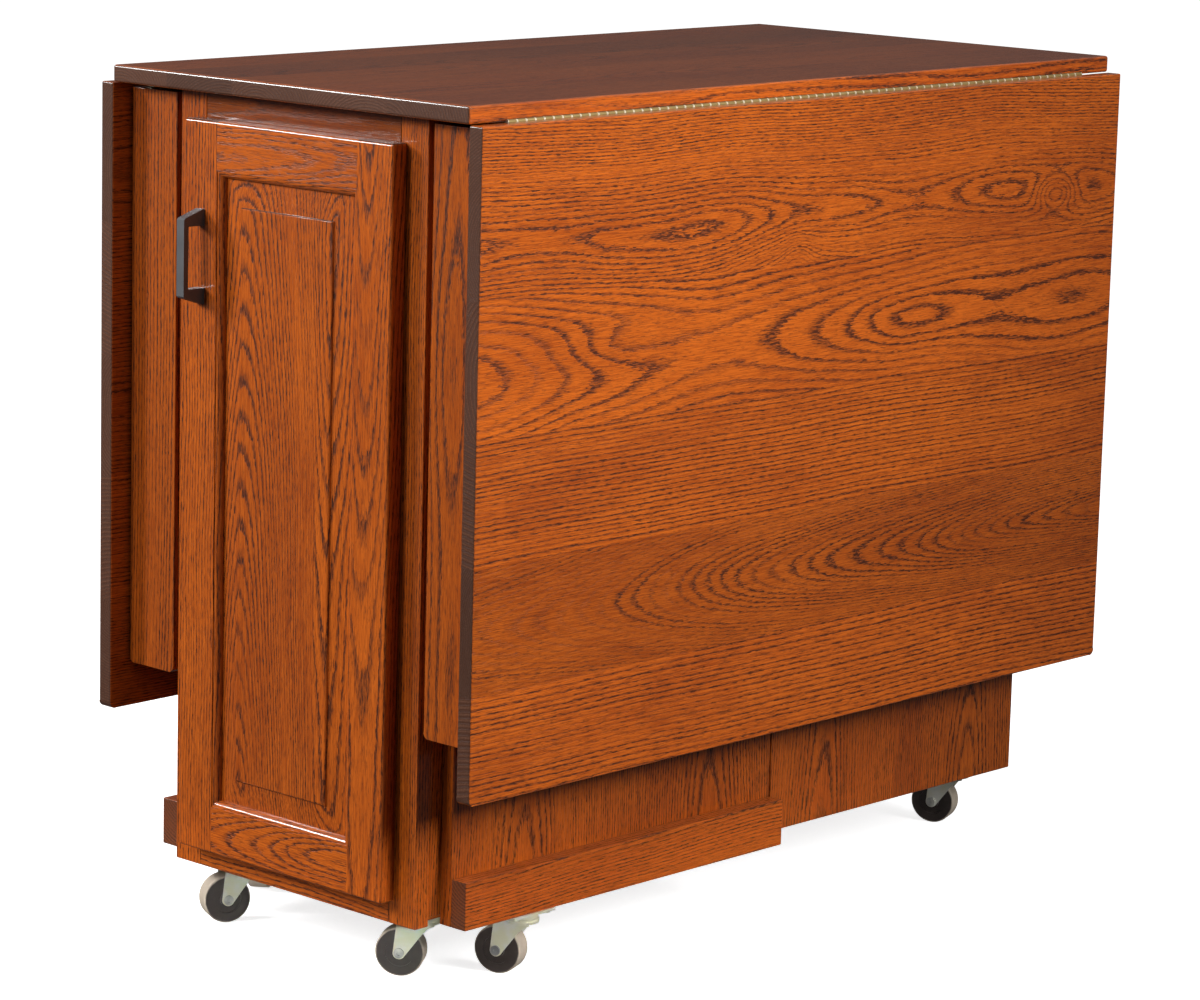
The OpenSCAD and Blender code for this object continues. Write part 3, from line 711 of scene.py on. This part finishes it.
def area_light(name, place, target, size, power, spread=180.0):
    """A rectangular light at a place, turned to a target; spread in degrees."""
    data = bpy.data.lights.new(name, "AREA")
    data.shape = "RECTANGLE"
    data.size, data.size_y = size
    data.energy = power
    data.spread = math.radians(spread)
    light = bpy.data.objects.new(name, data)
    light.location = place
    light.rotation_euler = (Vector(target) - Vector(place)).to_track_quat("-Z", "Y").to_euler()
    bpy.context.scene.collection.objects.link(light)


def make_lights():
    """One light for the near leaf, one for the door, two for the reflections on the rounded edges of the
    top and the door and on the slope of its panel, and a weak, low one for the casters."""
    middle = (cad_low + cad_high) / 2
    area_light("leaf_side", (0.5, -3.6, 2.2), (-0.62, -0.27, 0.86), (1.3, 1.3), 22, spread=62)
    area_light("door_side", (-3.8, 1.0, 2.2), middle, (1.0, 1.0), 84)
    area_light("arris_light", (-2.75, 2.75, 2.2), middle, (0.7, 0.9), 105)
    area_light("slope_light", (-3.05, 2.60, 1.50), (-0.52, 0.0, 0.8), (0.6, 1.1), 2)
    area_light("low_light", (-2.5, -2.6, 0.07), (-0.30, -0.10, 0.015), (1.0, 0.06), 0.35, spread=5)
    make_world()


def make_world():
    """A studio that is bright overhead and dim low down; the camera sees it as plain white."""
    world = bpy.data.worlds.new("studio")
    world.use_nodes = True
    tree = world.node_tree
    tree.nodes.clear()
    way = tree.nodes.new("ShaderNodeTexCoord")
    height = tree.nodes.new("ShaderNodeSeparateXYZ")
    tree.links.new(way.outputs["Generated"], height.inputs[0])
    ramp = tree.nodes.new("ShaderNodeValToRGB")
    tree.links.new(height.outputs["Z"], ramp.inputs[0])
    ramp.color_ramp.elements[0].position = 0.30
    ramp.color_ramp.elements[0].color = grey(0.065)
    ramp.color_ramp.elements[1].position = 0.65
    ramp.color_ramp.elements[1].color = grey(0.42)
    path = tree.nodes.new("ShaderNodeLightPath")
    shown = tree.nodes.new("ShaderNodeMix")
    shown.data_type = "RGBA"
    shown.inputs[7].default_value = grey(1.0)
    tree.links.new(ramp.outputs[0], shown.inputs[6])
    tree.links.new(path.outputs["Is Camera Ray"], shown.inputs[0])
    background = tree.nodes.new("ShaderNodeBackground")
    tree.links.new(shown.outputs[2], background.inputs["Color"])
    end = tree.nodes.new("ShaderNodeOutputWorld")
    tree.links.new(background.outputs[0], end.inputs[0])
    bpy.context.scene.world = world


# The place is in metres, the angles are in degrees and the lens in millimetres; azimuth 0 looks along +Y
CAMERA_PLACE = Vector((-3.3397, -3.0502, 1.2906))
CAMERA_AZIMUTH = -46.17
CAMERA_ELEVATION = 10.514
CAMERA_ROLL = 1.265
CAMERA_LENS = 126.615
# The picture's frame lies a little to one side of the lens's axis
CAMERA_SHIFT = (0.075, -0.025)


def make_camera():
    """The camera at the photograph's place and angle."""
    azimuth, elevation = math.radians(CAMERA_AZIMUTH), math.radians(CAMERA_ELEVATION)
    back = Vector((math.sin(azimuth) * math.cos(elevation), -math.cos(azimuth) * math.cos(elevation),
                   math.sin(elevation)))
    right = Vector((0, 0, 1)).cross(back).normalized()
    up = back.cross(right)
    turn = Matrix((right, up, back)).transposed() @ Matrix.Rotation(math.radians(CAMERA_ROLL), 3, "Z")
    data = bpy.data.cameras.new("camera")
    data.lens = CAMERA_LENS
    data.sensor_width = 36.0
    data.shift_x, data.shift_y = CAMERA_SHIFT
    camera = bpy.data.objects.new("camera", data)
    camera.matrix_world = Matrix.Translation(CAMERA_PLACE) @ turn.to_4x4()
    bpy.context.scene.collection.objects.link(camera)
    bpy.context.scene.camera = camera


def make_look():
    """Plain colours, as the photograph has them."""
    settings = bpy.context.scene.view_settings
    settings.view_transform = "Standard"
    settings.look = "None"


dress_top_and_leaves()
dress_cabinet()
dress_door()
dress_metal()
dress_wheels()
add_screw_heads()
make_floor()
make_lights()
make_camera()
make_look()
